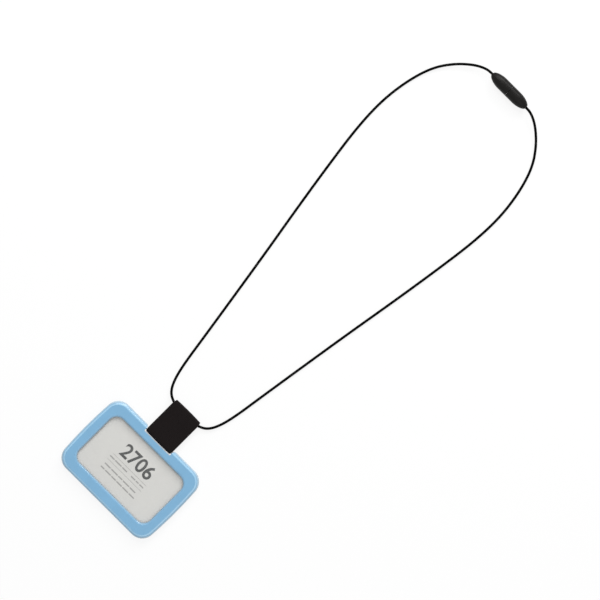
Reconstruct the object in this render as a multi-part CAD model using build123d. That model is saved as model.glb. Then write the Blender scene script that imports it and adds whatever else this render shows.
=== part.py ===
"""Lanyard badge holder: a two-shell card frame hung from a neck cord by a webbing strap.

Millimetres. The origin is the centre of the holder's back face. +X runs along the
holder's long side towards the card slot, +Y towards the strap and the neck cord, and
+Z out of the front face. Everything lies flat on the plane z = 0.
"""

from math import radians, tan
import os

from build123d import *

# ---- holder: two shells that meet at half thickness ----
HOLDER_WIDTH = 107.0
HOLDER_HEIGHT = 76.4
HOLDER_THICKNESS = 7.6
CORNER_RADIUS = 12.5
SIDE_BOW = 1.8  # how far each short side bulges between its corners
RIM_RADIUS = 3.4  # rounding of the shells' outer edges
VIEW_WIDTH = 85.0
VIEW_HEIGHT = 52.2
VIEW_CORNER = 8.0
VIEW_EDGE_RADIUS = 2.2  # rounding of the shells' inner edges
SHELL_SKIN = 2.2  # shell wall outside the tray

# ---- card, windows and the tray between the shells ----
CARD_LENGTH = 91.0
CARD_HEIGHT = 55.0
CARD_THICKNESS = 0.76
CARD_CORNER = 3.18
CARD_SIDE_CLEARANCE = 0.5
CARD_FACE_CLEARANCE = 0.22
WINDOW_THICKNESS = 0.6
WINDOW_LAP = 1.5  # how far a window reaches past the pocket on every side
WINDOW_CLEARANCE = 0.1
TRAY_CLEARANCE = 0.1
THUMB_SLOT_LENGTH = 22.0
THUMB_SLOT_WIDTH = 10.0
THUMB_SLOT_X = -20.0

# ---- strap notch and strap bar ----
STRAP_WIDTH = 30.0
STRAP_THICKNESS = 1.1
STRAP_TOP_Y = 71.2  # top of the fold that carries the cord
STRAP_EASE = 0.15  # space between the webbing and what it is folded round
NOTCH_SIDE_CLEARANCE = 0.4
NOTCH_FLOOR_CLEARANCE = 0.4
NOTCH_SHOULDER = 2.5
NOTCH_CORNER = 0.8
BAR_RADIUS = 1.3
BAR_SEAT_LENGTH = 5.6  # length of bar held at each side of the notch
BAR_CLEARANCE = 0.03
BAR_TOP_INSET = 1.45  # the bar's top below the holder's top edge
SEAT_WALL = 1.5  # shell wall around the bar's seats

# ---- sewn lap of the strap and its thread ----
LAP_FOOT_GAP = 6.5  # from the strap bar's centre to the lap's foot
LAP_LENGTH = 15.0
LAP_SINK = 0.5  # share of the webbing's thickness by which the lap meets the back layer
LAP_HEIGHT = 1.4  # the lap's thickness there, as a share of the webbing's
THREAD_RADIUS = 0.15
STITCH_LENGTH = 2.2
STITCH_PITCH = 3.0
STITCHES_PER_ROW = 9
STITCH_ROW_INSET = 3.0

# ---- neck cord ----
CORD_RADIUS = 1.15
CORD_REST_Z = 1.2
CORD_ARC_SHARE = 0.45  # share of the shorter run that each bend may use

# ---- release coupling: socket on the left, plug on the right ----
COUPLING_Y = 459.8
COUPLING_RADIUS = 5.6
COUPLING_HALF_LENGTH = 20.3
COUPLING_STRAIGHT = 8.0  # cylindrical half length, before the tapered nose
NOSE_LENGTH = 12.9  # half axis of the nose's ellipse
COUPLING_SEAM = 0.02  # half of the gap between the two halves
SEAM_CHAMFER = 0.2  # bevel that each half has at the seam
STEM_RADIUS = 3.0
STEM_LENGTH = 11.0
STEM_WALL = 0.9
STEM_CLEARANCE = 0.2
STEM_END_CLEARANCE = 1.0
STEM_SLIT = 0.7
STEM_SLIT_ROOT = 3.0  # stem left uncut next to the plug
CLICK_RING_HEIGHT = 0.1
CLICK_RING_WIDTH = 1.2
CLICK_RING_X = 8.5
CRIMP_SHOULDER_X = 16.0  # where each half's crimp chamber ends
CRIMP_LENGTH = 2.8
CRIMP_CLEARANCE = 0.1
CRIMP_BORE_CLEARANCE = 0.05
CORD_BORE_CLEARANCE = 0.15
CORD_END_INSET = 0.4  # the cord's end past the inner end of its crimp

OVERSHOOT = 1.0  # how far a cutting shape passes the surface that it cuts
ON_FACE = 0.01  # how near an edge is to a face that it lies on

# ---- worked out ----
MID_Z = HOLDER_THICKNESS / 2
POCKET_HALF_X = CARD_LENGTH / 2 + CARD_SIDE_CLEARANCE
POCKET_HALF_Y = CARD_HEIGHT / 2 + CARD_SIDE_CLEARANCE
SLOT_HEIGHT = CARD_THICKNESS + 2 * CARD_FACE_CLEARANCE
TRAY_THICKNESS = SLOT_HEIGHT + 2 * WINDOW_THICKNESS
TRAY_LOW_Z = MID_Z - TRAY_THICKNESS / 2
TRAY_HIGH_Z = MID_Z + TRAY_THICKNESS / 2
WINDOW_HALF_X = POCKET_HALF_X + WINDOW_LAP
WINDOW_HALF_Y = POCKET_HALF_Y + WINDOW_LAP
NOTCH_HALF_X = STRAP_WIDTH / 2 + NOTCH_SIDE_CLEARANCE
BAR_HALF_LENGTH = NOTCH_HALF_X + BAR_SEAT_LENGTH
BAR_Y = HOLDER_HEIGHT / 2 - BAR_TOP_INSET - BAR_RADIUS
BAR_FOLD_INNER = BAR_RADIUS + STRAP_EASE
BAR_FOLD_OUTER = BAR_FOLD_INNER + STRAP_THICKNESS
NOTCH_FLOOR_Y = BAR_Y - BAR_FOLD_OUTER - NOTCH_FLOOR_CLEARANCE
LAP_FOOT_Y = BAR_Y + LAP_FOOT_GAP
CORD_FOLD_INNER = CORD_RADIUS + STRAP_EASE
CORD_FOLD_OUTER = CORD_FOLD_INNER + STRAP_THICKNESS
CORD_FOLD_Y = STRAP_TOP_Y - CORD_FOLD_OUTER
CORD_FOLD_Z = CORD_FOLD_OUTER
COUPLING_Z = COUPLING_RADIUS
CHAMBER_RADIUS = STEM_RADIUS - STEM_WALL
CORD_END_X = CRIMP_SHOULDER_X - CRIMP_LENGTH - CORD_END_INSET

# Route of one half of the neck cord, from its end inside the release coupling to the
# middle of the strap's upper fold. The other half is its mirror image.
CORD_ROUTE = [
    (CORD_END_X, COUPLING_Y, COUPLING_Z),
    (19.8, COUPLING_Y, COUPLING_Z),
    (27.2, 459.4, 5.2),
    (37.5, 454.2, 4.2),
    (49.8, 443.2, 2.8),
    (60.5, 428.0, 1.8),
    (67.5, 406.0, 1.3),
    (71.4, 378.0, CORD_REST_Z),
    (70.2, 346.0, CORD_REST_Z),
    (64.7, 306.0, CORD_REST_Z),
    (58.0, 263.0, CORD_REST_Z),
    (49.7, 214.0, CORD_REST_Z),
    (42.1, 166.0, CORD_REST_Z),
    (35.6, 124.0, CORD_REST_Z),
    (31.6, 97.0, 1.25),
    (27.9, 81.5, 1.5),
    (22.8, 71.6, 1.9),
    (15.0, 67.2, 2.4),
    (7.0, 66.4, 2.5),
    (0.0, 66.4, 2.5),
]


def slab(face, low_z, high_z):
    """A flat sketch raised from one height to another."""
    return Pos(0, 0, low_z) * extrude(face, high_z - low_z)


def holder_outline(inset=0.0):
    """The holder's front view: straight long sides, bowed short sides, round corners."""
    half_x = HOLDER_WIDTH / 2 - inset
    half_y = HOLDER_HEIGHT / 2 - inset
    end_x = half_x - SIDE_BOW
    edges = [
        Line((-end_x, half_y), (end_x, half_y)),
        ThreePointArc((end_x, half_y), (half_x, 0), (end_x, -half_y)),
        Line((end_x, -half_y), (-end_x, -half_y)),
        ThreePointArc((-end_x, -half_y), (-half_x, 0), (-end_x, half_y)),
    ]
    face = make_face(edges)
    return fillet(face.vertices(), CORNER_RADIUS - inset)


def notch_outline():
    """The strap notch in the top edge, with rounded shoulders and floor corners."""
    top_y = HOLDER_HEIGHT / 2
    depth = top_y - NOTCH_FLOOR_Y
    pocket = Pos(0, NOTCH_FLOOR_Y + depth) * RectangleRounded(
        2 * NOTCH_HALF_X, 2 * depth, NOTCH_CORNER
    )
    shape = pocket
    for side in (-1, 1):
        centre_x = side * (NOTCH_HALF_X + NOTCH_SHOULDER)
        centre_y = top_y - NOTCH_SHOULDER
        square = Pos(centre_x - side * NOTCH_SHOULDER / 2, centre_y + NOTCH_SHOULDER / 2) * Rectangle(
            NOTCH_SHOULDER, NOTCH_SHOULDER
        )
        shape += square - Pos(centre_x, centre_y) * Circle(NOTCH_SHOULDER)
    return shape


def tray_outline(grow=0.0):
    """The tray's outline: inside the shells' skin and cut away round the bar's seats."""
    cut_half_x = BAR_HALF_LENGTH + SEAT_WALL - grow
    cut_low_y = NOTCH_FLOOR_Y - SEAT_WALL + grow
    cut_height = HOLDER_HEIGHT
    cut = Pos(0, cut_low_y + cut_height / 2) * Rectangle(2 * cut_half_x, cut_height)
    return holder_outline(SHELL_SKIN + TRAY_CLEARANCE - grow) - cut


def card_slot():
    """The space that the card slides through, from the pocket out of the right side."""
    length = HOLDER_WIDTH - POCKET_HALF_X
    return Pos(POCKET_HALF_X + length / 2, 0, MID_Z) * Box(length, 2 * POCKET_HALF_Y, SLOT_HEIGHT)


def bar_solid(clearance=0.0):
    """The strap bar, or with a clearance the seat that it lies in."""
    bar = Cylinder(BAR_RADIUS + clearance, 2 * (BAR_HALF_LENGTH + clearance))
    return Pos(0, BAR_Y, MID_Z) * Rot(0, 90, 0) * bar


def shell(is_front):
    """One half of the frame: rounded outside, open in the middle, recessed for the tray."""
    if is_front:
        low_z, high_z, face_z = MID_Z, HOLDER_THICKNESS, HOLDER_THICKNESS
        recess = slab(tray_outline(TRAY_CLEARANCE), MID_Z, TRAY_HIGH_Z)
    else:
        low_z, high_z, face_z = 0.0, MID_Z, 0.0
        recess = slab(tray_outline(TRAY_CLEARANCE), TRAY_LOW_Z, MID_Z)
    body = slab(holder_outline(), low_z, high_z)
    body = fillet(body.edges().filter_by(lambda e: abs(e.center().Z - face_z) < ON_FACE), RIM_RADIUS)
    view = slab(RectangleRounded(VIEW_WIDTH, VIEW_HEIGHT, VIEW_CORNER), -OVERSHOOT, HOLDER_THICKNESS + OVERSHOOT)
    body -= view
    inner = [
        edge
        for edge in body.edges()
        if abs(edge.center().Z - face_z) < ON_FACE
        and abs(edge.center().X) <= VIEW_WIDTH / 2 + ON_FACE
        and abs(edge.center().Y) <= VIEW_HEIGHT / 2 + ON_FACE
    ]
    body = fillet(inner, VIEW_EDGE_RADIUS)
    body -= recess
    body -= slab(notch_outline(), -OVERSHOOT, HOLDER_THICKNESS + OVERSHOOT)
    body -= bar_solid(BAR_CLEARANCE)
    body -= card_slot()
    return body


def core_tray():
    """The carrier between the shells: card pocket, window rebates and card slot."""
    tray = slab(tray_outline(), TRAY_LOW_Z, TRAY_HIGH_Z)
    tray -= Pos(0, 0, MID_Z) * Box(2 * POCKET_HALF_X, 2 * POCKET_HALF_Y, HOLDER_THICKNESS)
    rebate = Box(
        2 * (WINDOW_HALF_X + WINDOW_CLEARANCE),
        2 * (WINDOW_HALF_Y + WINDOW_CLEARANCE),
        WINDOW_THICKNESS,
    )
    for centre_z in (TRAY_LOW_Z + WINDOW_THICKNESS / 2, TRAY_HIGH_Z - WINDOW_THICKNESS / 2):
        tray -= Pos(0, 0, centre_z) * rebate
    return tray - card_slot()


def window(low_z, has_thumb_slot):
    """A clear sheet over the pocket; the rear one has a slot to push the card by thumb."""
    face = Rectangle(2 * WINDOW_HALF_X, 2 * WINDOW_HALF_Y)
    if has_thumb_slot:
        face -= Pos(THUMB_SLOT_X, 0) * SlotOverall(THUMB_SLOT_LENGTH, THUMB_SLOT_WIDTH)
    return slab(face, low_z, low_z + WINDOW_THICKNESS)


def id_card():
    """The card, centred in its pocket."""
    face = RectangleRounded(CARD_LENGTH, CARD_HEIGHT, CARD_CORNER)
    return slab(face, MID_Z - CARD_THICKNESS / 2, MID_Z + CARD_THICKNESS / 2)


def loop_section(bar_radius, cord_radius):
    """Side view of a belt round the bar and the cord, drawn with x as Y and y as Z."""
    ends = Pos(BAR_Y, MID_Z) * Circle(bar_radius) + Pos(CORD_FOLD_Y, CORD_FOLD_Z) * Circle(cord_radius)
    return make_hull(ends.edges())


def back_layer_height(y):
    """Height of the strap's outer back surface above the rest plane at a place along it."""
    foot_z = MID_Z - BAR_FOLD_OUTER
    return foot_z * (CORD_FOLD_Y - y) / (CORD_FOLD_Y - BAR_Y)


def strap_loop():
    """The webbing, folded round the bar and the cord, with its sewn lap inside the back."""
    belt = loop_section(BAR_FOLD_OUTER, CORD_FOLD_OUTER) - loop_section(BAR_FOLD_INNER, CORD_FOLD_INNER)
    lap_low = back_layer_height(LAP_FOOT_Y) + LAP_SINK * STRAP_THICKNESS
    lap_high = back_layer_height(LAP_FOOT_Y + LAP_LENGTH) + LAP_SINK * STRAP_THICKNESS
    lap = Polygon(
        (LAP_FOOT_Y, lap_low),
        (LAP_FOOT_Y + LAP_LENGTH, lap_high),
        (LAP_FOOT_Y + LAP_LENGTH, lap_high + LAP_HEIGHT * STRAP_THICKNESS),
        (LAP_FOOT_Y, lap_low + LAP_HEIGHT * STRAP_THICKNESS),
        align=None,
    )
    section = belt + lap
    # the section's x and y become the part's Y and Z
    along = Plane(origin=(-STRAP_WIDTH / 2, 0, 0), x_dir=(0, 1, 0), z_dir=(1, 0, 0))
    return extrude(along * section, STRAP_WIDTH, dir=(1, 0, 0))


def lap_stitches():
    """Two rows of thread across the back of the sewn lap, one short solid per stitch."""
    rows = (LAP_FOOT_Y + STITCH_ROW_INSET, LAP_FOOT_Y + LAP_LENGTH - STITCH_ROW_INSET)
    first_x = -STITCH_PITCH * (STITCHES_PER_ROW - 1) / 2
    stitches = []
    for row_y in rows:
        for count in range(STITCHES_PER_ROW):
            place = Pos(first_x + count * STITCH_PITCH, row_y, back_layer_height(row_y) - THREAD_RADIUS)
            stitches.append(place * Rot(0, 90, 0) * Cylinder(THREAD_RADIUS, STITCH_LENGTH))
    return Compound(children=stitches)


def cord(side):
    """One half of the neck cord: straight runs joined by tangent arcs."""
    points = [Vector(side * x, y, z) for x, y, z in CORD_ROUTE]
    runs = [b - a for a, b in zip(points, points[1:])]
    radii = []
    for before, after in zip(runs, runs[1:]):
        turn = before.get_angle(after)
        radii.append(CORD_ARC_SHARE * min(before.length, after.length) / tan(radians(turn / 2)))
    path = FilletPolyline(*points, radius=radii)
    start = Plane(origin=points[0], z_dir=runs[0])
    tube = sweep(start * Circle(CORD_RADIUS), path=path)
    section = Circle(CORD_RADIUS).area
    print(f"cord side {side:+d}: radii " + " ".join(f"{r:.0f}" for r in radii))
    print(f"  length {path.length:.1f}, volume {tube.volume:.1f}, section x length {section * path.length:.1f}")
    return tube


def half_coupling_profile():
    """Half section of one coupling half: x along the axis, y the radius."""
    length = COUPLING_STRAIGHT - COUPLING_SEAM
    body = Pos(COUPLING_SEAM + length / 2, COUPLING_RADIUS / 2) * Rectangle(length, COUPLING_RADIUS)
    nose = Pos(COUPLING_STRAIGHT, 0) * Ellipse(NOSE_LENGTH, COUPLING_RADIUS)
    nose_length = COUPLING_HALF_LENGTH - COUPLING_STRAIGHT
    nose &= Pos(COUPLING_STRAIGHT + nose_length / 2, COUPLING_RADIUS / 2) * Rectangle(
        nose_length, COUPLING_RADIUS
    )
    bevel = Polygon(
        (COUPLING_SEAM, COUPLING_RADIUS),
        (COUPLING_SEAM + SEAM_CHAMFER, COUPLING_RADIUS),
        (COUPLING_SEAM, COUPLING_RADIUS - SEAM_CHAMFER),
        align=None,
    )
    return body + nose - bevel


def band(start_x, end_x, radius):
    """Half section of a cylinder about the coupling's axis."""
    return Pos((start_x + end_x) / 2, radius / 2) * Rectangle(end_x - start_x, radius)


def turned(profile, side):
    """A half section revolved about the coupling's axis; side -1 mirrors it to the left."""
    solid = revolve(profile, axis=Axis.X, revolution_arc=360)
    if side < 0:
        solid = mirror(solid, about=Plane.YZ)
    return Pos(0, COUPLING_Y, COUPLING_Z) * solid


def release_socket():
    """The left half: a bore for the plug's stem, a click groove and a crimp chamber."""
    stem_bore = STEM_RADIUS + STEM_CLEARANCE
    stem_floor = STEM_LENGTH + STEM_END_CLEARANCE
    groove_half = CLICK_RING_WIDTH / 2 + STEM_CLEARANCE
    profile = half_coupling_profile()
    profile -= band(0, stem_floor, stem_bore)
    profile -= band(stem_floor, CRIMP_SHOULDER_X, CHAMBER_RADIUS)
    profile -= band(CRIMP_SHOULDER_X, COUPLING_HALF_LENGTH + OVERSHOOT, CORD_RADIUS + CORD_BORE_CLEARANCE)
    profile -= band(CLICK_RING_X - groove_half, CLICK_RING_X + groove_half, stem_bore + CLICK_RING_HEIGHT)
    return turned(profile, -1)


def release_plug():
    """The right half: a hollow slit stem with a click ring, and a crimp chamber."""
    ring_half = CLICK_RING_WIDTH / 2
    profile = half_coupling_profile()
    profile += band(-STEM_LENGTH, COUPLING_SEAM + OVERSHOOT, STEM_RADIUS)
    profile += band(-CLICK_RING_X - ring_half, -CLICK_RING_X + ring_half, STEM_RADIUS + CLICK_RING_HEIGHT)
    profile -= band(-STEM_LENGTH - OVERSHOOT, CRIMP_SHOULDER_X, CHAMBER_RADIUS)
    profile -= band(CRIMP_SHOULDER_X, COUPLING_HALF_LENGTH + OVERSHOOT, CORD_RADIUS + CORD_BORE_CLEARANCE)
    plug = turned(profile, 1)
    slit_length = STEM_LENGTH - STEM_SLIT_ROOT + OVERSHOOT
    slit = Box(slit_length, STEM_SLIT, 4 * STEM_RADIUS)
    return plug - Pos(-STEM_SLIT_ROOT - slit_length / 2, COUPLING_Y, COUPLING_Z) * slit


def crimp(side):
    """The ferrule that stops the cord's end from pulling through its coupling half."""
    outer = CHAMBER_RADIUS - CRIMP_CLEARANCE
    inner = CORD_RADIUS + CRIMP_BORE_CLEARANCE
    ring = Cylinder(outer, CRIMP_LENGTH) - Cylinder(inner, CRIMP_LENGTH)
    centre_x = side * (CRIMP_SHOULDER_X - CRIMP_CLEARANCE - CRIMP_LENGTH / 2)
    return Pos(centre_x, COUPLING_Y, COUPLING_Z) * Rot(0, 90, 0) * ring


def write_parts():
    """Build every piece and write one STEP file for each."""
    pieces = {
        "front_shell": shell(True),
        "rear_shell": shell(False),
        "core_tray": core_tray(),
        "strap_bar": bar_solid(),
        "front_window": window(TRAY_HIGH_Z - WINDOW_THICKNESS, False),
        "rear_window": window(TRAY_LOW_Z, True),
        "id_card": id_card(),
        "strap_loop": strap_loop(),
        "lap_stitches": lap_stitches(),
        "cord_left": cord(-1),
        "cord_right": cord(1),
        "release_socket": release_socket(),
        "release_plug": release_plug(),
        "socket_crimp": crimp(-1),
        "plug_crimp": crimp(1),
    }
    os.makedirs("parts", exist_ok=True)
    for name, piece in pieces.items():
        export_step(piece, f"parts/{name}.step")


write_parts()
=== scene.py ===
"""Looks of a lanyard badge holder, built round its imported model. Metres, in the model's own frame."""

import math

import bpy
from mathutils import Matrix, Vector


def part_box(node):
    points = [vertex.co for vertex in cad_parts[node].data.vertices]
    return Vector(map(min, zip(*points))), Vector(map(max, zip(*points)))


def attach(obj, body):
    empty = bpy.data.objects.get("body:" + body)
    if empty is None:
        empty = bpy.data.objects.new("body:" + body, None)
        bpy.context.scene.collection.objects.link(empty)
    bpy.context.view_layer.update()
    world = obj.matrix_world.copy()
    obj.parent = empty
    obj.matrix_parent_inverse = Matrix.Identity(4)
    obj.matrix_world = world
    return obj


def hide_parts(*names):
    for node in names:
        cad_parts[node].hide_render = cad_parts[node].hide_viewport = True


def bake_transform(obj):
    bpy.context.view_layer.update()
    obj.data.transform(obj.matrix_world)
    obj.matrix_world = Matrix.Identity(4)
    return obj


bl_info = {
    "name": "Lanyard badge holder",
    "version": (1, 0, 0),
    "blender": (4, 5, 0),
    "location": "3D View > Sidebar > Badge",
    "description": "Neck cord, webbing strap, printed card and finishes of a lanyard badge holder",
    "category": "Add Mesh",
}

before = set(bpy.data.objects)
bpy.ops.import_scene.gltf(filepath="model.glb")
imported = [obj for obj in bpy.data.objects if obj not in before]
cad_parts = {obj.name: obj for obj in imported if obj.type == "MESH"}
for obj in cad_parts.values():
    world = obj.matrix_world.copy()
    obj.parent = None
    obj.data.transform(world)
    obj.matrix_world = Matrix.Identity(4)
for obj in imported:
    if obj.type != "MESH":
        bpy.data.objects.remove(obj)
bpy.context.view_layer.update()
MM = 0.001

STRAP_LOW, STRAP_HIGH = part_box("strap_loop")
BAR_LOW, BAR_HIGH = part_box("strap_bar")
CARD_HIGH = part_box("id_card")[1]
SHELL_LOW, SHELL_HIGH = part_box("front_shell")
REAR_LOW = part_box("rear_shell")[0]

STRAP_WIDTH = STRAP_HIGH.x - STRAP_LOW.x
BAR_CENTRE = (BAR_LOW + BAR_HIGH) / 2
HOLDER_CORNER = 12.5  # corner radius of the holder's outline, in millimetres
HOLDER_BOW = 1.8  # how far the holder's short sides bulge, in millimetres

# One half of the neck cord, from its end inside the release coupling to the middle of the
# strap's upper fold, in metres. The other half is its mirror image.
CORD_ROUTE = [
    (0.0128, 0.4598, 0.0056),
    (0.0198, 0.4598, 0.0056),
    (0.0272, 0.4594, 0.0052),
    (0.0375, 0.4542, 0.0042),
    (0.0498, 0.4432, 0.0028),
    (0.0605, 0.4280, 0.0018),
    (0.0675, 0.4060, 0.0013),
    (0.0714, 0.3780, 0.0012),
    (0.0702, 0.3460, 0.0012),
    (0.0647, 0.3060, 0.0012),
    (0.0580, 0.2630, 0.0012),
    (0.0497, 0.2140, 0.0012),
    (0.0421, 0.1660, 0.0012),
    (0.0356, 0.1240, 0.0012),
    (0.0316, 0.0970, 0.00125),
    (0.0279, 0.0815, 0.0015),
    (0.0228, 0.0716, 0.0019),
    (0.0150, 0.0672, 0.0024),
    (0.0070, 0.0664, 0.0025),
    (0.0, 0.0664, 0.0025),
]


# ---------------------------------------------------------------- sizes and colours


def length(name, description, default):
    """A length property in metres."""
    return bpy.props.FloatProperty(
        name=name, description=description, default=default, min=0.0, unit="LENGTH", precision=5
    )


def colour(name, description, default):
    """A linear colour property."""
    return bpy.props.FloatVectorProperty(
        name=name, description=description, default=default, size=3, min=0.0, max=1.0, subtype="COLOR"
    )


class BadgeSizes(bpy.types.PropertyGroup):
    """Sizes that a user would change."""

    cord_diameter: length("Cord diameter", "Thickness of the neck cord", 2.3 * MM)
    webbing_thickness: length("Webbing thickness", "Thickness of the strap's webbing", 1.1 * MM)
    strap_ease: length("Strap ease", "Space between the webbing and what it is folded round", 0.15 * MM)
    fold_pinch: length("Fold pinch", "How far the webbing's edges draw in at its folds", 0.9 * MM)
    number_height: length("Number height", "Height of the printed number", 13.4 * MM)
    number_width: length("Number width", "Width of the printed number", 34.0 * MM)
    line_height: length("Line height", "Height of a printed bar", 1.15 * MM)
    rule_height: length("Rule height", "Height of a thin printed rule", 0.3 * MM)
    ink_thickness: length("Ink thickness", "Height of the print above the card", 0.02 * MM)


class BadgeColours(bpy.types.PropertyGroup):
    """Colours that a user would change."""

    shell: colour("Shell", "Light blue of the frame", (0.178, 0.405, 0.625))
    card: colour("Card", "Pale grey of the card", (0.645, 0.636, 0.608))
    ink: colour("Ink", "Dark grey of the printed number", (0.022, 0.022, 0.02))
    small_ink: colour("Small ink", "Mid grey of the printed bars", (0.3, 0.295, 0.28))
    webbing: colour("Webbing", "Black of the strap", (0.0062, 0.0042, 0.0042))
    cord: colour("Cord", "Black of the neck cord", (0.0008, 0.0008, 0.0008))
    coupling: colour("Coupling", "Black of the release coupling", (0.0042, 0.0036, 0.0032))


def sizes():
    return bpy.context.scene.badge_sizes


def colours():
    return bpy.context.scene.badge_colours


# ---------------------------------------------------------------- shader arithmetic


class Value:
    """A shader socket that takes part in Python arithmetic."""

    def __init__(self, paint, socket):
        self.paint = paint
        self.socket = socket

    def math(self, operation, *others):
        inputs = dict(enumerate((self, *others)))
        return self.paint.node("ShaderNodeMath", {"operation": operation}, inputs)

    def __add__(self, other):
        return self.math("ADD", other)

    def __sub__(self, other):
        return self.math("SUBTRACT", other)

    def __mul__(self, other):
        return self.math("MULTIPLY", other)

    def __rsub__(self, other):
        return self * -1 + other

    __radd__ = __add__
    __rmul__ = __mul__

    def step(self, low, high):
        """0 below low, 1 above high, smooth between."""
        return self.paint.node(
            "ShaderNodeMapRange", {"interpolation_type": "SMOOTHSTEP"}, {0: self, 1: low, 2: high}
        )


class Paint:
    """A material, and the nodes that its pattern is made of."""

    def __init__(self, name, **fixed):
        self.material = bpy.data.materials.new(name)
        self.material.use_nodes = True
        self.tree = self.material.node_tree
        self.shader = self.tree.nodes["Principled BSDF"]
        for socket, value in fixed.items():
            self.shader.inputs[socket.replace("_", " ")].default_value = value

    def node(self, kind, settings=None, inputs=None, output=0):
        made = self.tree.nodes.new(kind)
        for name, value in (settings or {}).items():
            setattr(made, name, value)
        for key, value in (inputs or {}).items():
            if isinstance(value, Value):
                self.tree.links.new(value.socket, made.inputs[key])
            else:
                made.inputs[key].default_value = value
        return Value(self, made.outputs[output])

    def feed(self, socket, value):
        self.tree.links.new(value.socket, self.shader.inputs[socket])

    def split(self, vector):
        """The three parts of a vector, turned from metres to millimetres."""
        return [
            self.node("ShaderNodeSeparateXYZ", None, {0: vector}, part) * (1 / MM) for part in range(3)
        ]

    def place(self):
        return self.node("ShaderNodeTexCoord", None, None, "Object")

    def map_uv(self):
        return self.node("ShaderNodeUVMap", {"uv_map": "run"})

    def noise(self, vector, scale, detail=3.0, roughness=0.5):
        inputs = {"Vector": vector, "Scale": scale, "Detail": detail, "Roughness": roughness}
        return self.node("ShaderNodeTexNoise", None, inputs)

    def blend(self, mask, low, high):
        """A colour between two others."""
        ends = [(*end, 1.0) if isinstance(end, tuple) else end for end in (low, high)]
        return self.node("ShaderNodeMix", {"data_type": "RGBA"}, {0: mask, 6: ends[0], 7: ends[1]}, 2)

    def bump(self, height_mm, strength=1.0):
        """Relief from a height in millimetres."""
        inputs = {"Strength": strength, "Distance": MM, "Height": height_mm}
        self.feed("Normal", self.node("ShaderNodeBump", None, inputs))


def tint(base, factor):
    return tuple(part * factor for part in base)


def depth_from_outline(x, y):
    """How far a place lies inside the holder's outline, in millimetres, up to the corner radius."""
    half_x = (SHELL_HIGH.x - SHELL_LOW.x) / 2 / MM
    half_y = (SHELL_HIGH.y - SHELL_LOW.y) / 2 / MM
    height = y * (1 / half_y)
    straightened = x.math("ABSOLUTE") + height * height * HOLDER_BOW
    across = (straightened - (half_x - HOLDER_CORNER)).math("MAXIMUM", 0.0)
    up = (y.math("ABSOLUTE") - (half_y - HOLDER_CORNER)).math("MAXIMUM", 0.0)
    return HOLDER_CORNER - (across * across + up * up).math("SQRT")


def shell_material():
    """Satin light blue elastomer with fine grain; its rim carries a painted reflection and a painted
    highlight line, and its inner lips painted shade.
    """
    base = tuple(colours().shell)
    paint = Paint("shell_blue", Specular_IOR_Level=0.4, Coat_Roughness=0.12, Coat_Weight=0.8)
    place = paint.place()
    x, y, z = paint.split(place)
    mottle = paint.noise(place, 90.0, 4.0)
    grain = paint.noise(place, 2600.0, 2.0)
    depth = depth_from_outline(x, y)
    middle_z = (REAR_LOW.z + SHELL_HIGH.z) / 2 / MM
    # the painted reflection on the outer rim, the painted highlight line just inside it, and the painted
    # shade on the rounded edges of the openings
    rim = 1 - depth.step(0.4, 1.7)
    highlight_band = depth.step(1.3, 2.0) * (1 - depth.step(2.4, 3.3))
    lip_shade = depth.step(5.0, 7.0) * (1 - (z - middle_z).math("ABSOLUTE").step(2.7, 3.8))
    # colours of the painted rim reflection, the painted highlight and the painted shade on the lips
    painted_rim_reflection, painted_highlight, painted_lip_shade = (0.42, 0.55, 0.64), (0.44, 0.70, 0.88), (0.30, 0.37, 0.42)
    body = paint.blend(mottle, tint(base, 0.94), tint(base, 1.06))
    # lay the painted reflection over the outer rim
    with_rim_reflection = paint.blend(rim * 0.8, body, painted_rim_reflection)
    # lay the painted highlight line just inside the rim
    with_highlight = paint.blend(highlight_band * 0.55, with_rim_reflection, painted_highlight)
    # lay the painted shade over the inner lips round the openings
    paint.feed("Base Color", paint.blend(lip_shade * 0.75, with_highlight, painted_lip_shade))
    wear = paint.noise(place, 420.0, 5.0, 0.65).step(0.52, 0.75)
    paint.feed("Roughness", 0.40 - highlight_band * 0.12 + wear * 0.08 + grain * 0.05)
    paint.bump(grain * 0.010 + mottle * 0.02)
    return paint.material


def tray_material():
    """Natural white moulded plastic with faint flow marks."""
    paint = Paint("tray_white", Specular_IOR_Level=0.5)
    place = paint.place()
    flow = paint.noise(place, 140.0, 5.0)
    paint.feed("Base Color", paint.blend(flow, (0.62, 0.63, 0.64), (0.72, 0.73, 0.74)))
    paint.feed("Roughness", 0.38 + flow * 0.12)
    paint.bump(paint.noise(place, 1800.0) * 0.006)
    return paint.material


def window_material():
    """Clear polymer sheet: almost invisible, with faint wipe marks in its gloss."""
    paint = Paint("window_clear", Specular_IOR_Level=0.5, IOR=1.49)
    paint.shader.inputs["Base Color"].default_value = (0.9, 0.93, 0.94, 1.0)
    place = paint.place()
    smear = paint.noise(place, 55.0, 3.0)
    marks = paint.noise(place, 900.0, 4.0, 0.7).step(0.66, 0.74)
    paint.feed("Alpha", 0.03 + smear * 0.03 + marks * 0.02)
    paint.feed("Roughness", 0.06 + smear * 0.06 + marks * 0.12)
    return paint.material


def card_material():
    """Pale grey card stock with a fine fibre grain and a soft sheen."""
    base = tuple(colours().card)
    paint = Paint("card_stock", Specular_IOR_Level=0.4)
    place = paint.place()
    fibre = paint.noise(place, 1500.0, 5.0, 0.6)
    cloud = paint.noise(place, 45.0, 2.0)
    paint.feed("Base Color", paint.blend(cloud * 0.7 + fibre * 0.3, tint(base, 0.965), tint(base, 1.03)))
    paint.feed("Roughness", 0.46 + fibre * 0.12)
    paint.bump(fibre * 0.012)
    return paint.material


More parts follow.
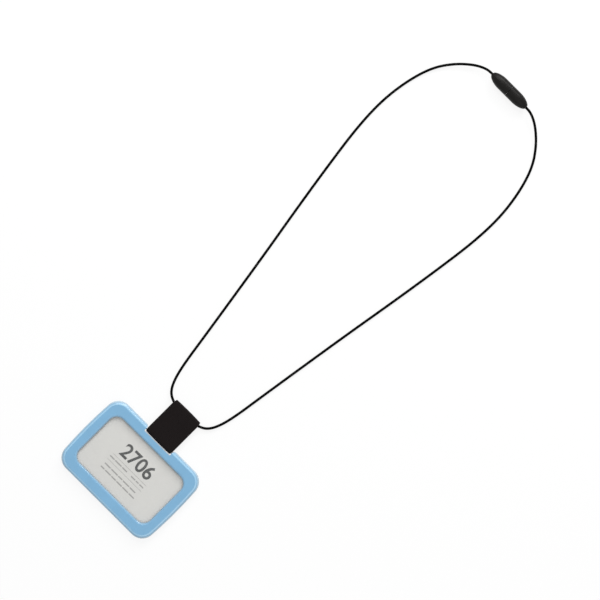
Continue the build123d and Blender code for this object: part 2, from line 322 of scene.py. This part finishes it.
def ink_material(name, base):
    """Printed ink, slightly uneven where it lies on the card's fibres."""
    paint = Paint(name, Specular_IOR_Level=0.35)
    place = paint.place()
    fibre = paint.noise(place, 1900.0, 4.0, 0.65)
    paint.feed("Base Color", paint.blend(fibre, tint(base, 0.8), tint(base, 1.3)))
    paint.feed("Roughness", 0.42 + fibre * 0.2)
    paint.bump(fibre * 0.01)
    return paint.material


def webbing_material():
    """Matt black webbing: lengthwise ribs crossed by weft rows, with a few raised fibres."""
    base = tuple(colours().webbing)
    paint = Paint("webbing_black", Specular_IOR_Level=0.1, Sheen_Weight=0.06, Sheen_Roughness=0.5)
    rib_pitch, weft_pitch = 1.15, 0.72
    across, along, _ = paint.split(paint.map_uv())
    rib = (across * (2 * math.pi / rib_pitch)).math("SINE") * 0.5 + 0.5
    shift = (across * (math.pi / rib_pitch)).math("SINE").math("SIGN") * (math.pi / 2)
    weft = (along * (2 * math.pi / weft_pitch) + shift).math("SINE") * 0.5 + 0.5
    fluff = paint.noise(paint.place(), 2400.0, 4.0, 0.7)
    thread = rib * 0.55 + weft * 0.45
    tone = thread * 0.65 + fluff * 0.35
    paint.feed("Base Color", paint.blend(tone, tint(base, 0.55), tint(base, 1.75)))
    paint.feed("Roughness", 0.93 - thread * 0.18)
    paint.bump(thread * 0.13 + fluff * 0.05)
    return paint.material


def cord_material():
    """Smooth black cord: a tight fine braid whose crossings catch a little light."""
    base = tuple(colours().cord)
    paint = Paint("cord_black", Specular_IOR_Level=0.03, Sheen_Weight=0.01, Sheen_Roughness=0.4)
    strands, braid_pitch = 8, 1.7
    around, along, _ = paint.split(paint.map_uv())
    girth = math.pi * sizes().cord_diameter / MM
    turn = around * (2 * math.pi / girth * strands)
    run = along * (2 * math.pi / braid_pitch)
    right = (turn + run).math("SINE")
    left = (turn - run).math("SINE")
    braid = right.math("MAXIMUM", left) * 0.5 + 0.5
    fuzz = paint.noise(paint.place(), 3200.0, 3.0, 0.6)
    paint.feed("Base Color", paint.blend(braid * 0.7 + fuzz * 0.3, tint(base, 0.5), tint(base, 2.0)))
    paint.feed("Roughness", 0.66 - braid * 0.16 + fuzz * 0.1)
    paint.bump(braid * 0.05 + fuzz * 0.02)
    return paint.material


def coupling_material():
    """Satin warm black moulding: spark-eroded grain, rubbed smoother near its middle."""
    base = tuple(colours().coupling)
    paint = Paint("coupling_black", Specular_IOR_Level=0.14)
    place = paint.place()
    x, _, _ = paint.split(place)
    grain = paint.noise(place, 1700.0, 3.0, 0.6)
    worn = 1 - x.math("ABSOLUTE").step(2.0, 14.0)
    patch = paint.noise(place, 220.0, 4.0)
    paint.feed("Base Color", paint.blend(patch * 0.6 + grain * 0.4, tint(base, 0.8), tint(base, 1.35)))
    paint.feed("Roughness", 0.34 - worn * 0.06 + grain * 0.14)
    paint.bump(grain * 0.03)
    return paint.material


def thread_material():
    """Twisted black polyester thread."""
    paint = Paint("thread_black", Specular_IOR_Level=0.35)
    x, y, z = paint.split(paint.place())
    twist_pitch = 0.35
    twist = ((x + y + z) * (2 * math.pi / twist_pitch)).math("SINE") * 0.5 + 0.5
    paint.feed("Base Color", paint.blend(twist, (0.006, 0.006, 0.006), (0.03, 0.029, 0.028)))
    paint.feed("Roughness", 0.62 - twist * 0.14)
    paint.bump(twist * 0.03)
    return paint.material


def drawn_metal_material(name, dark, light):
    """Drawn metal with fine lines along X."""
    paint = Paint(name, Metallic=1.0)
    place = paint.place()
    stretched = paint.node("ShaderNodeMapping", None, {"Vector": place, "Scale": (0.04, 1.0, 1.0)})
    lines = paint.noise(stretched, 5200.0, 2.0)
    paint.feed("Base Color", paint.blend(lines, dark, light))
    paint.feed("Roughness", 0.24 + lines * 0.2)
    paint.bump(lines * 0.004)
    return paint.material


# ---------------------------------------------------------------- small modelling helpers


def clear_selection():
    if bpy.context.object and bpy.context.object.mode != "OBJECT":
        bpy.ops.object.mode_set(mode="OBJECT")
    bpy.ops.object.select_all(action="DESELECT")


def named(name):
    """The object just made, with its name and its mesh's name set."""
    made = bpy.context.object
    made.name = name
    made.data.name = name
    return made


def settle(piece):
    """Puts a piece's place into its mesh, so that its object sits at the origin."""
    clear_selection()
    piece.select_set(True)
    bpy.context.view_layer.objects.active = piece
    bpy.ops.object.transform_apply(location=True, rotation=True, scale=True)


def apply_modifier(piece, kind, **settings):
    """Adds a modifier, sets it and applies it."""
    modifier = piece.modifiers.new(kind.lower(), kind)
    for name, value in settings.items():
        setattr(modifier, name, value)
    clear_selection()
    bpy.context.view_layer.objects.active = piece
    bpy.ops.object.modifier_apply(modifier=modifier.name)


def pick_vertices(piece, test):
    """Selects, in edit mode, the vertices that pass a test on their place."""
    bpy.ops.mesh.select_mode(type="VERT")
    bpy.ops.mesh.select_all(action="DESELECT")
    bpy.ops.object.mode_set(mode="OBJECT")
    for vertex in piece.data.vertices:
        vertex.select = test(vertex.co)
    bpy.ops.object.mode_set(mode="EDIT")


def pick_edges(piece, test):
    """Selects, in edit mode, the edges that pass a test on their two ends."""
    bpy.ops.mesh.select_mode(type="EDGE")
    bpy.ops.mesh.select_all(action="DESELECT")
    bpy.ops.object.mode_set(mode="OBJECT")
    places = [vertex.co.copy() for vertex in piece.data.vertices]
    for edge in piece.data.edges:
        edge.select = test(places[edge.vertices[0]], places[edge.vertices[1]])
    bpy.ops.object.mode_set(mode="EDIT")


def smooth(piece, degrees=35):
    clear_selection()
    piece.select_set(True)
    bpy.context.view_layer.objects.active = piece
    bpy.ops.object.shade_smooth_by_angle(angle=math.radians(degrees))


def dress(piece, material):
    """Gives a piece its only material."""
    piece.data.materials.clear()
    piece.data.materials.append(material)


def dress_nodes(material, slot, *nodes):
    """Gives CAD nodes a better material."""
    for node in nodes:
        dress(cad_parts[node], material)


# ---------------------------------------------------------------- neck cord


CORD_STEPS = 14  # divisions of the cord's line between two control points
CORD_SIDES = 20


def cord_points():
    """The whole cord, left half first, as control points."""
    right = [Vector(point) for point in CORD_ROUTE]
    left = [Vector((-point.x, point.y, point.z)) for point in right]
    return left + right[-2::-1]


def smooth_line(points, steps):
    """The points of the NURBS line that a list of control points draws."""
    curve = bpy.data.curves.new("cord_route", "CURVE")
    curve.dimensions = "3D"
    spline = curve.splines.new("NURBS")
    spline.points.add(len(points) - 1)
    for control, point in zip(spline.points, points):
        control.co = (*point, 1.0)
    spline.order_u = 3
    spline.use_endpoint_u = True
    spline.resolution_u = steps
    guide = bpy.data.objects.new("cord_route", curve)
    bpy.context.scene.collection.objects.link(guide)
    bpy.context.view_layer.update()
    mesh = bpy.data.meshes.new_from_object(guide.evaluated_get(bpy.context.evaluated_depsgraph_get()))
    line = [vertex.co.copy() for vertex in mesh.vertices]
    bpy.data.objects.remove(guide)
    bpy.data.meshes.remove(mesh)
    return line


def tube_along(name, line, radius, sides):
    """A closed tube round a line, with a UV map of metres round and along it."""
    rings, along, travelled = [], [], 0.0
    side = Vector((0, 0, 1))
    for index, point in enumerate(line):
        before, after = line[max(index - 1, 0)], line[min(index + 1, len(line) - 1)]
        forward = (after - before).normalized()
        side = (side - forward * side.dot(forward)).normalized()
        other = forward.cross(side)
        if index:
            travelled += (point - line[index - 1]).length
        along.append(travelled)
        for step in range(sides):
            angle = 2 * math.pi * step / sides
            rings.append(point + (side * math.cos(angle) + other * math.sin(angle)) * radius)
    faces = []
    for ring in range(len(line) - 1):
        for step in range(sides):
            low, high = ring * sides, (ring + 1) * sides
            turn = (step + 1) % sides
            faces.append((low + step, low + turn, high + turn, high + step))
    walls = len(faces)
    faces.append(tuple(reversed(range(sides))))
    faces.append(tuple(range((len(line) - 1) * sides, len(line) * sides)))
    mesh = bpy.data.meshes.new(name)
    mesh.from_pydata([tuple(point) for point in rings], [], faces)
    layer = mesh.uv_layers.new(name="run")
    girth = 2 * math.pi * radius
    for face in mesh.polygons:
        for place, loop in enumerate(face.loop_indices):
            ring, step = divmod(mesh.loops[loop].vertex_index, sides)
            wrapped = face.index < walls and step == 0 and place in (1, 2)
            around = 1.0 if wrapped else step / sides
            layer.data[loop].uv = (around * girth, along[ring])
    piece = bpy.data.objects.new(name, mesh)
    bpy.context.scene.collection.objects.link(piece)
    return piece


class BADGE_OT_neck_cord(bpy.types.Operator):
    """Makes the neck cord as one smooth tube"""

    bl_idname = "badge.neck_cord"
    bl_label = "Neck cord"

    def execute(self, context):
        radius = sizes().cord_diameter / 2
        line = smooth_line(cord_points(), CORD_STEPS)
        cord = tube_along("neck_cord", line, radius, CORD_SIDES)
        smooth(cord, 60)
        dress(cord, cord_material())
        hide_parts("cord_left", "cord_right")
        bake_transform(cord)
        return {"FINISHED"}


# ---------------------------------------------------------------- strap


FOLD_SIDES = 48  # divisions of the ring that becomes the webbing's two folds
RUN_CUTS = 24  # cuts across each straight layer
WIDTH_CUTS = 29
FOLD_REACH = 2.4 * MM  # how far from a fold's outside the webbing is drawn in
TOP_CORNER_DROP = 0.35 * MM
FOOT_CORNER_RISE = 0.25 * MM
LAYER_DIP = 0.28  # share of the gap that the layers close halfway between the folds
LAP_MARGIN = 3.0 * MM  # webbing past the outer stitches
LAP_WIDTH = 0.985  # the lap's width, as a share of the strap's
LAP_LIFT = 1.75  # the lap's middle above the back layer's outside, in webbing thicknesses
WEBBING_PRESSED = 0.96  # share of the webbing's thickness that is left when it is sewn
SELVEDGE_ROUND = 0.22 * MM


def fold_centres():
    """Centres of the strap's lower and upper folds, and their radii at mid thickness."""
    middle = sizes().strap_ease + sizes().webbing_thickness / 2
    bar_radius = (BAR_HIGH.z - BAR_LOW.z) / 2 + middle
    cord_radius = sizes().cord_diameter / 2 + middle
    outer = cord_radius + sizes().webbing_thickness / 2
    upper = Vector((0, STRAP_HIGH.y - outer, STRAP_LOW.z + outer))
    return BAR_CENTRE.copy(), bar_radius, upper, cord_radius


def strap_run(place):
    """Distance along the webbing's loop of a point on it, from the front foot."""
    lower, bar_radius, upper, cord_radius = fold_centres()
    straight = upper.y - lower.y
    if place.y > upper.y:
        angle = math.atan2(place.y - upper.y, place.z - upper.z)
        return straight + angle * cord_radius
    if place.y < lower.y:
        angle = math.atan2(lower.y - place.y, place.z - lower.z)
        return -angle * bar_radius
    share = (place.y - lower.y) / straight
    middle_z = lower.z + (upper.z - lower.z) * share
    if place.z > middle_z:
        return share * straight
    return straight + math.pi * cord_radius + (1 - share) * straight


def lay_webbing_map(piece):
    """A UV map of metres across and along the webbing."""
    layer = piece.data.uv_layers.get("run") or piece.data.uv_layers.new(name="run")
    for loop in piece.data.loops:
        place = piece.data.vertices[loop.vertex_index].co
        layer.data[loop.index].uv = (place.x, strap_run(place))


def webbing_loop():
    """The folded loop: a ring stretched into a belt and drawn out sideways."""
    lower, bar_radius, upper, cord_radius = fold_centres()
    clear_selection()
    bpy.ops.mesh.primitive_circle_add(
        vertices=FOLD_SIDES,
        radius=cord_radius,
        location=(-STRAP_WIDTH / 2, upper.y, upper.z),
        rotation=(0, math.pi / 2, 0),
    )
    piece = named("strap_webbing")
    settle(piece)
    bpy.ops.object.mode_set(mode="EDIT")
    pick_vertices(piece, lambda co: co.y < upper.y - 1e-6)
    bpy.ops.transform.translate(value=lower - upper)
    pick_vertices(piece, lambda co: co.y < (lower.y + upper.y) / 2)
    foot = Vector((-STRAP_WIDTH / 2, lower.y, lower.z))
    grow = bar_radius / cord_radius
    bpy.ops.transform.resize(value=(1, grow, grow), center_override=foot)
    pick_edges(piece, lambda a, b: abs(a.y - b.y) > (upper.y - lower.y) / 2)
    bpy.ops.mesh.subdivide(number_cuts=RUN_CUTS)
    bpy.ops.mesh.select_all(action="SELECT")
    bpy.ops.mesh.extrude_region_move(TRANSFORM_OT_translate={"value": (STRAP_WIDTH, 0, 0)})
    pick_edges(piece, lambda a, b: abs(a.x - b.x) > STRAP_WIDTH / 2)
    bpy.ops.mesh.subdivide(number_cuts=WIDTH_CUTS)
    bpy.ops.mesh.select_all(action="SELECT")
    bpy.ops.mesh.normals_make_consistent(inside=False)
    bpy.ops.object.mode_set(mode="OBJECT")
    return piece


def draw_in_folds(piece):
    """Narrows the webbing where it is folded and dips its middle a little between the folds."""
    lower, _, upper, _ = fold_centres()
    for vertex in piece.data.vertices:
        co = vertex.co
        top = math.exp(-(((co.y - STRAP_HIGH.y) / FOLD_REACH) ** 2))
        foot = math.exp(-(((co.y - STRAP_LOW.y) / FOLD_REACH) ** 2))
        side = co.x / (STRAP_WIDTH / 2)
        co.x -= side * sizes().fold_pinch * max(top, foot)
        co.y -= TOP_CORNER_DROP * top * side * side
        co.y += FOOT_CORNER_RISE * foot * side * side
        share = (co.y - lower.y) / (upper.y - lower.y)
        if 0 < share < 1:
            middle_z = lower.z + (upper.z - lower.z) * share
            co.z += (middle_z - co.z) * LAYER_DIP * math.sin(math.pi * share) ** 2


def sewn_lap():
    """The free end of the webbing, sewn down inside the loop's back layer."""
    stitch_low, stitch_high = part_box("lap_stitches")
    low_y, high_y = stitch_low.y - LAP_MARGIN, stitch_high.y + LAP_MARGIN
    clear_selection()
    bpy.ops.mesh.primitive_grid_add(x_subdivisions=24, y_subdivisions=12, size=1)
    piece = named("strap_lap")
    piece.scale = (STRAP_WIDTH * LAP_WIDTH, high_y - low_y, 1)
    lift = LAP_LIFT * sizes().webbing_thickness
    lower, bar_radius, upper, cord_radius = fold_centres()
    foot_z, head_z = lower.z - bar_radius, upper.z - cord_radius
    middle_y = (low_y + high_y) / 2
    slope = (head_z - foot_z) / (upper.y - lower.y)
    piece.location = (0, middle_y, foot_z + slope * (middle_y - lower.y) + lift)
    piece.rotation_euler = (math.atan(slope), 0, 0)
    settle(piece)
    return piece


def thicken(piece):
    """Gives webbing its thickness and rounds its selvedges."""
    thickness = sizes().webbing_thickness * WEBBING_PRESSED
    apply_modifier(piece, "SOLIDIFY", thickness=thickness, offset=0.0)
    apply_modifier(
        piece,
        "BEVEL",
        width=SELVEDGE_ROUND,
        segments=2,
        limit_method="ANGLE",
        angle_limit=math.radians(50),
    )


class BADGE_OT_strap(bpy.types.Operator):
    """Makes the folded webbing strap and its sewn lap"""

    bl_idname = "badge.strap"
    bl_label = "Webbing strap"

    def execute(self, context):
        material = webbing_material()
        loop = webbing_loop()
        draw_in_folds(loop)
        lap = sewn_lap()
        for piece in (loop, lap):
            thicken(piece)
            lay_webbing_map(piece)
            smooth(piece, 40)
            dress(piece, material)
            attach(piece, "lanyard")
        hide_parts("strap_loop")
        dress_nodes(thread_material(), "thread", "lap_stitches")
        return {"FINISHED"}


# ---------------------------------------------------------------- card print


# Printed bars below the number: height above the card's centre, then the start and end
# of each bar along X, in millimetres.
SMALL_LINES = [
    (-3.4, [(-21.0, -15.6), (-14.8, -7.2), (-6.4, -0.6), (4.4, 9.4), (10.2, 13.6), (14.4, 19.0)]),
    (-11.1, [(-19.6, -12.8), (-12.0, -4.2), (-3.4, 1.4), (2.2, 9.6), (10.4, 17.2)]),
    (-15.4, [(-20.2, -16.0), (-15.2, -8.4), (-7.6, -2.2), (-1.4, 5.0), (5.8, 12.6), (13.4, 19.8)]),
]
RULES = [(-0.4, -21.0, 20.0), (-6.8, -21.0, 20.0)]
NUMBER = "2706"
NUMBER_MIDDLE_Y = 9.3 * MM
NUMBER_STROKE = 0.018  # how far the digits' outlines are moved outwards, in text units
BAR_END_ROUND = 0.3  # corner radius of a printed bar, as a share of its height


def printed_bar(name, start_x, end_x, middle_y, height):
    """One printed bar: a thin raised plate with rounded corners, on the card's face."""
    ink = sizes().ink_thickness
    clear_selection()
    bpy.ops.mesh.primitive_plane_add(size=1, location=((start_x + end_x) / 2, middle_y, CARD_HIGH.z))
    bar = named(name)
    bar.scale = (end_x - start_x, height, 1)
    settle(bar)
    bpy.ops.object.mode_set(mode="EDIT")
    bpy.ops.mesh.select_all(action="SELECT")
    bpy.ops.mesh.bevel(offset=height * BAR_END_ROUND, segments=3, affect="VERTICES")
    bpy.ops.mesh.extrude_region_move(TRANSFORM_OT_translate={"value": (0, 0, ink)})
    bpy.ops.mesh.select_all(action="SELECT")
    bpy.ops.mesh.normals_make_consistent(inside=False)
    bpy.ops.object.mode_set(mode="OBJECT")
    return bar


def printed_number():
    """The large number, as thin raised print."""
    clear_selection()
    bpy.ops.object.text_add()
    text = named("card_number")
    text.data.body = NUMBER
    text.data.align_x = "CENTER"
    text.data.offset = NUMBER_STROKE
    text.data.extrude = 0.5
    bpy.ops.object.convert(target="MESH")
    number = bpy.context.object
    places = [vertex.co for vertex in number.data.vertices]
    low = Vector([min(co[axis] for co in places) for axis in range(3)])
    high = Vector([max(co[axis] for co in places) for axis in range(3)])
    want = (sizes().number_width, sizes().number_height, sizes().ink_thickness)
    centre = (0, NUMBER_MIDDLE_Y, CARD_HIGH.z + sizes().ink_thickness / 2)
    for axis in range(3):
        number.scale[axis] = want[axis] / (high[axis] - low[axis])
        number.location[axis] = centre[axis] - number.scale[axis] * (high[axis] + low[axis]) / 2
    settle(number)
    return number


class BADGE_OT_card_print(bpy.types.Operator):
    """Prints a plain number, plain bars and thin rules on the card"""

    bl_idname = "badge.card_print"
    bl_label = "Card print"

    def execute(self, context):
        number = printed_number()
        dress(number, ink_material("number_ink", tuple(colours().ink)))
        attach(number, "card")
        small = ink_material("small_ink", tuple(colours().small_ink))
        for row, (y, bars) in enumerate(SMALL_LINES):
            for count, (start, end) in enumerate(bars):
                name = f"card_line_{row + 1}_{count + 1}"
                bar = printed_bar(name, start * MM, end * MM, y * MM, sizes().line_height)
                dress(bar, small)
                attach(bar, "card")
        for row, (y, start, end) in enumerate(RULES):
            rule = printed_bar(f"card_rule_{row + 1}", start * MM, end * MM, y * MM, sizes().rule_height)
            dress(rule, small)
            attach(rule, "card")
        return {"FINISHED"}


# ---------------------------------------------------------------- finishes of the CAD pieces


class BADGE_OT_holder_finish(bpy.types.Operator):
    """Gives the shells, tray, strap bar, windows and card their finishes"""

    bl_idname = "badge.holder_finish"
    bl_label = "Holder finishes"

    def execute(self, context):
        dress_nodes(shell_material(), "shell", "front_shell", "rear_shell")
        dress_nodes(tray_material(), "tray", "core_tray")
        dress_nodes(window_material(), "window", "front_window", "rear_window")
        dress_nodes(card_material(), "card", "id_card")
        steel = drawn_metal_material("bar_steel", (0.38, 0.38, 0.39), (0.56, 0.56, 0.57))
        dress_nodes(steel, "steel", "strap_bar")
        return {"FINISHED"}


class BADGE_OT_coupling_finish(bpy.types.Operator):
    """Gives the release coupling and its crimps their finishes"""

    bl_idname = "badge.coupling_finish"
    bl_label = "Coupling finishes"

    def execute(self, context):
        dress_nodes(coupling_material(), "coupling", "release_socket", "release_plug")
        brass = drawn_metal_material("crimp_brass", (0.42, 0.25, 0.08), (0.62, 0.4, 0.14))
        dress_nodes(brass, "crimp", "socket_crimp", "plug_crimp")
        return {"FINISHED"}


# ---------------------------------------------------------------- stage

VIEW_CENTRE = Vector((0.0, 0.206, 0.0))
VIEW_SPAN = 0.516  # width of the view at the rest plane
VIEW_TURN = math.radians(45)
LENS = 135.0
SENSOR = 36.0
LAMPS = [  # name, place from the middle of the view, width in metres and power in watts
    ("key", (-0.75, 0.75, 1.25), 0.9, 11.5),
    ("fill", (0.9, -0.5, 1.4), 1.4, 4.5),
    ("rim", (-0.35, 1.35, 0.75), 0.6, 11.0),
]
WORLD_LIGHT = 0.49
FLOOR_GLOW = 0.85  # share of plain white in what the camera sees of the floor
FLOOR_SIZE = 8
FLOOR_DROP = 0.1 * MM  # the floor lies this far below the object


def aim(thing, target):
    thing.rotation_mode = "QUATERNION"
    thing.rotation_quaternion = (target - thing.location).to_track_quat("-Z", "Y")


def softbox(name, place, size, energy):
    """A square soft lamp aimed at the middle of the view."""
    data = bpy.data.lights.new(name, "AREA")
    data.size = size
    data.energy = energy
    lamp = bpy.data.objects.new(name, data)
    bpy.context.scene.collection.objects.link(lamp)
    lamp.location = place
    aim(lamp, VIEW_CENTRE)


def straight_to_camera(tree):
    """1 for rays that see this from the camera, directly, in a reflection or through glass."""
    rays = tree.nodes.new("ShaderNodeLightPath")
    total = rays.outputs["Is Camera Ray"]
    for name in ("Is Glossy Ray", "Is Transmission Ray"):
        add = tree.nodes.new("ShaderNodeMath")
        add.operation = "ADD"
        add.use_clamp = True
        tree.links.new(total, add.inputs[0])
        tree.links.new(rays.outputs[name], add.inputs[1])
        total = add.outputs[0]
    return total


def floor_material():
    """Pale floor that shows white to the camera and keeps a faint shadow."""
    paint = Paint("floor_pale", Roughness=0.9)
    paint.shader.inputs["Base Color"].default_value = (0.95, 0.95, 0.95, 1.0)
    tree = paint.tree
    glow = tree.nodes.new("ShaderNodeEmission")
    mix = tree.nodes.new("ShaderNodeMixShader")
    share = tree.nodes.new("ShaderNodeMath")
    share.operation = "MULTIPLY"
    share.inputs[1].default_value = FLOOR_GLOW
    tree.links.new(straight_to_camera(tree), share.inputs[0])
    tree.links.new(share.outputs[0], mix.inputs[0])
    tree.links.new(paint.shader.outputs[0], mix.inputs[1])
    tree.links.new(glow.outputs[0], mix.inputs[2])
    tree.links.new(mix.outputs[0], tree.nodes["Material Output"].inputs["Surface"])
    return paint.material


def studio_world():
    """Even pale surroundings, white where the camera sees them."""
    world = bpy.data.worlds.new("studio")
    bpy.context.scene.world = world
    world.use_nodes = True
    tree = world.node_tree
    light = tree.nodes["Background"]
    light.inputs["Strength"].default_value = WORLD_LIGHT
    white = tree.nodes.new("ShaderNodeBackground")
    white.inputs["Color"].default_value = (1, 1, 1, 1)
    light.inputs["Color"].default_value = (1, 1, 1, 1)
    mix = tree.nodes.new("ShaderNodeMixShader")
    tree.links.new(straight_to_camera(tree), mix.inputs[0])
    tree.links.new(light.outputs[0], mix.inputs[1])
    tree.links.new(white.outputs[0], mix.inputs[2])
    tree.links.new(mix.outputs[0], tree.nodes["World Output"].inputs["Surface"])


class BADGE_OT_stage(bpy.types.Operator):
    """Sets the camera, the lamps, the world and the floor"""

    bl_idname = "badge.stage"
    bl_label = "Stage"

    def execute(self, context):
        scene = context.scene
        data = bpy.data.cameras.new("camera")
        data.lens = LENS
        data.sensor_width = SENSOR
        camera = bpy.data.objects.new("camera", data)
        scene.collection.objects.link(camera)
        camera.location = VIEW_CENTRE + Vector((0, 0, VIEW_SPAN * LENS / SENSOR))
        camera.rotation_euler = (0, 0, VIEW_TURN)
        scene.camera = camera
        scene.view_settings.view_transform = "Standard"
        for name, place, size, energy in LAMPS:
            softbox(name, VIEW_CENTRE + Vector(place), size, energy)
        studio_world()
        clear_selection()
        bpy.ops.mesh.primitive_grid_add(
            x_subdivisions=4,
            y_subdivisions=4,
            size=FLOOR_SIZE,
            location=(0, VIEW_CENTRE.y, -FLOOR_DROP),
        )
        floor = named("floor")
        settle(floor)
        floor.data.materials.append(floor_material())
        return {"FINISHED"}


# ---------------------------------------------------------------- add-on


class BADGE_PT_panel(bpy.types.Panel):
    """Lists the pieces of the badge holder"""

    bl_idname = "BADGE_PT_panel"
    bl_label = "Lanyard badge holder"
    bl_space_type = "VIEW_3D"
    bl_region_type = "UI"
    bl_category = "Badge"

    def draw(self, context):
        for operator in OPERATORS:
            self.layout.operator(operator.bl_idname)
        for group in (context.scene.badge_sizes, context.scene.badge_colours):
            box = self.layout.box()
            for name in group.__annotations__:
                box.prop(group, name)


OPERATORS = [
    BADGE_OT_stage,
    BADGE_OT_neck_cord,
    BADGE_OT_strap,
    BADGE_OT_card_print,
    BADGE_OT_holder_finish,
    BADGE_OT_coupling_finish,
]
CLASSES = [BadgeSizes, BadgeColours, *OPERATORS, BADGE_PT_panel]


def register():
    for item in CLASSES:
        bpy.utils.register_class(item)
    bpy.types.Scene.badge_sizes = bpy.props.PointerProperty(type=BadgeSizes)
    bpy.types.Scene.badge_colours = bpy.props.PointerProperty(type=BadgeColours)


def unregister():
    del bpy.types.Scene.badge_colours
    del bpy.types.Scene.badge_sizes
    for item in reversed(CLASSES):
        bpy.utils.unregister_class(item)


def main():
    register()
    clear_selection()
    bpy.ops.badge.stage()
    bpy.ops.badge.neck_cord()
    bpy.ops.badge.strap()
    bpy.ops.badge.card_print()
    bpy.ops.badge.holder_finish()
    bpy.ops.badge.coupling_finish()


if __name__ == "__main__":
    main()
